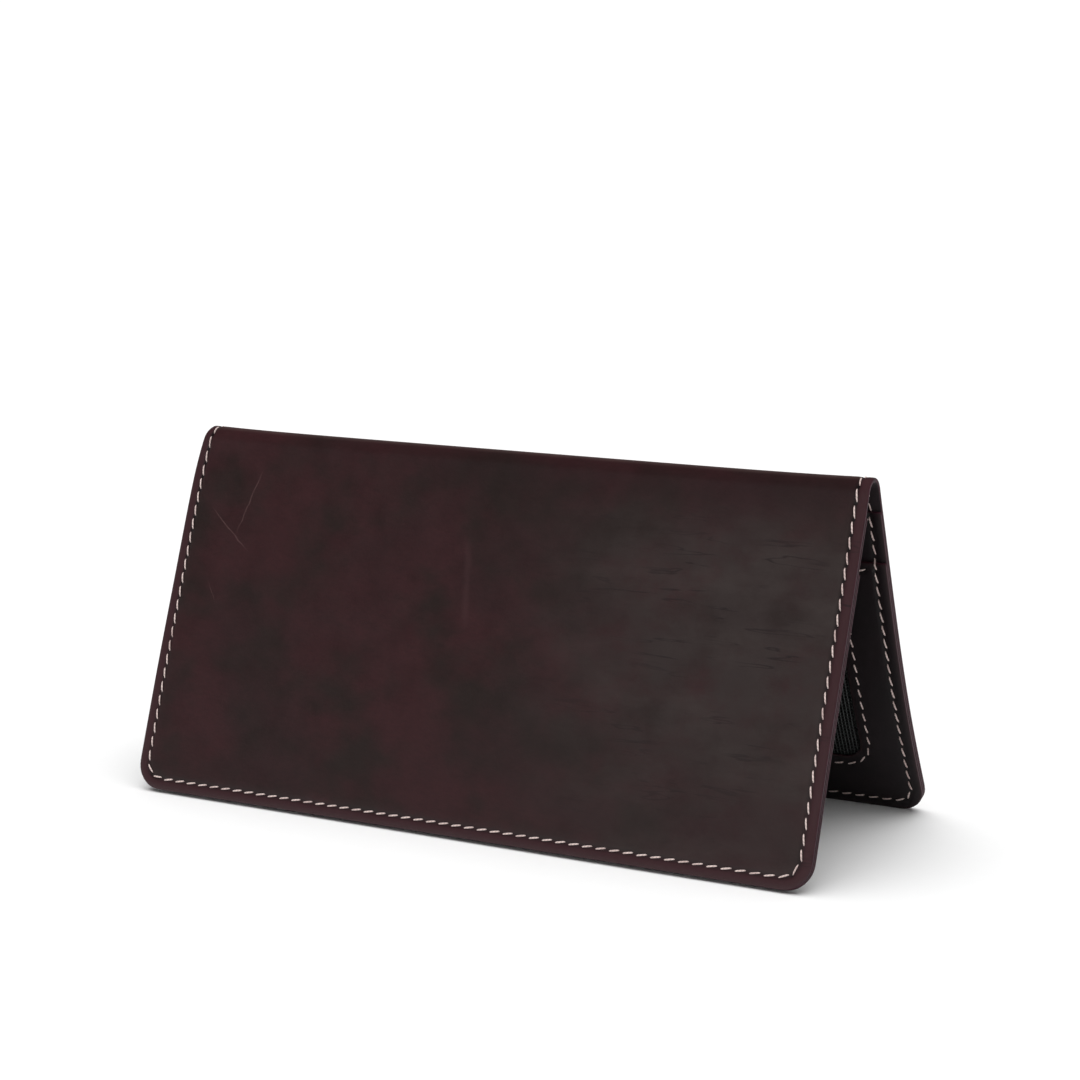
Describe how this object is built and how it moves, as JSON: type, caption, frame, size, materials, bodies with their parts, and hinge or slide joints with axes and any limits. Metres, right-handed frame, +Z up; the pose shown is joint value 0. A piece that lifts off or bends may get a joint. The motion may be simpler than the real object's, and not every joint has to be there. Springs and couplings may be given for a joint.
{
  "type": "long wallet",
  "caption": "Long bifold leather wallet, stitched round its edges, with bill pockets, stepped card pockets and a net window inside.",
  "frame": {"origin": "on the ground, midway along the fold and midway between the two free edges", "axes": "+X along the fold, +Y towards the back panel, which has the window inside, +Z up"},
  "size_m": [0.19, 0.075, 0.0894],
  "materials": {
    "cover_leather": "waxed pull-up, satin",
    "pocket_leather": "waxed pull-up, matt",
    "card_pocket_leather": "waxed pull-up, matt",
    "seam_thread": "waxed polyester thread",
    "window_net": "nylon net"
  },
  "bodies": {
    "back_panel": {"back_cover": "cover_leather", "spine_fold": "cover_leather", "spine_thread": "seam_thread", "back_bill_pocket": "pocket_leather", "window_pocket": "pocket_leather", "window_net": "window_net", "back_card_pocket_upper": "card_pocket_leather", "back_card_pocket_middle": "card_pocket_leather", "back_card_pocket_lower": "card_pocket_leather", "back_edge_thread": "seam_thread", "back_bill_lip_thread": "seam_thread", "window_pocket_lip_thread": "seam_thread", "window_frame_thread": "seam_thread", "back_card_thread": "seam_thread"},
    "front_panel": {"front_cover": "cover_leather", "front_bill_pocket": "pocket_leather", "card_panel": "pocket_leather", "front_left_card_pocket_upper": "card_pocket_leather", "front_left_card_pocket_middle": "card_pocket_leather", "front_left_card_pocket_lower": "card_pocket_leather", "front_right_card_pocket_upper": "card_pocket_leather", "front_right_card_pocket_middle": "card_pocket_leather", "front_right_card_pocket_lower": "card_pocket_leather", "front_edge_thread": "seam_thread", "front_bill_lip_thread": "seam_thread", "card_panel_lip_thread": "seam_thread", "front_left_card_thread": "seam_thread", "front_right_card_thread": "seam_thread"}
  },
  "joints": [
    {"name": "fold", "type": "hinge", "parent": "back_panel", "child": "front_panel", "pos_m": [0, 0, 0.08973], "axis": [-1, 0, 0], "range_deg": [-33.5, 137], "deforming": ["spine_fold", "spine_thread"]}
  ]
}
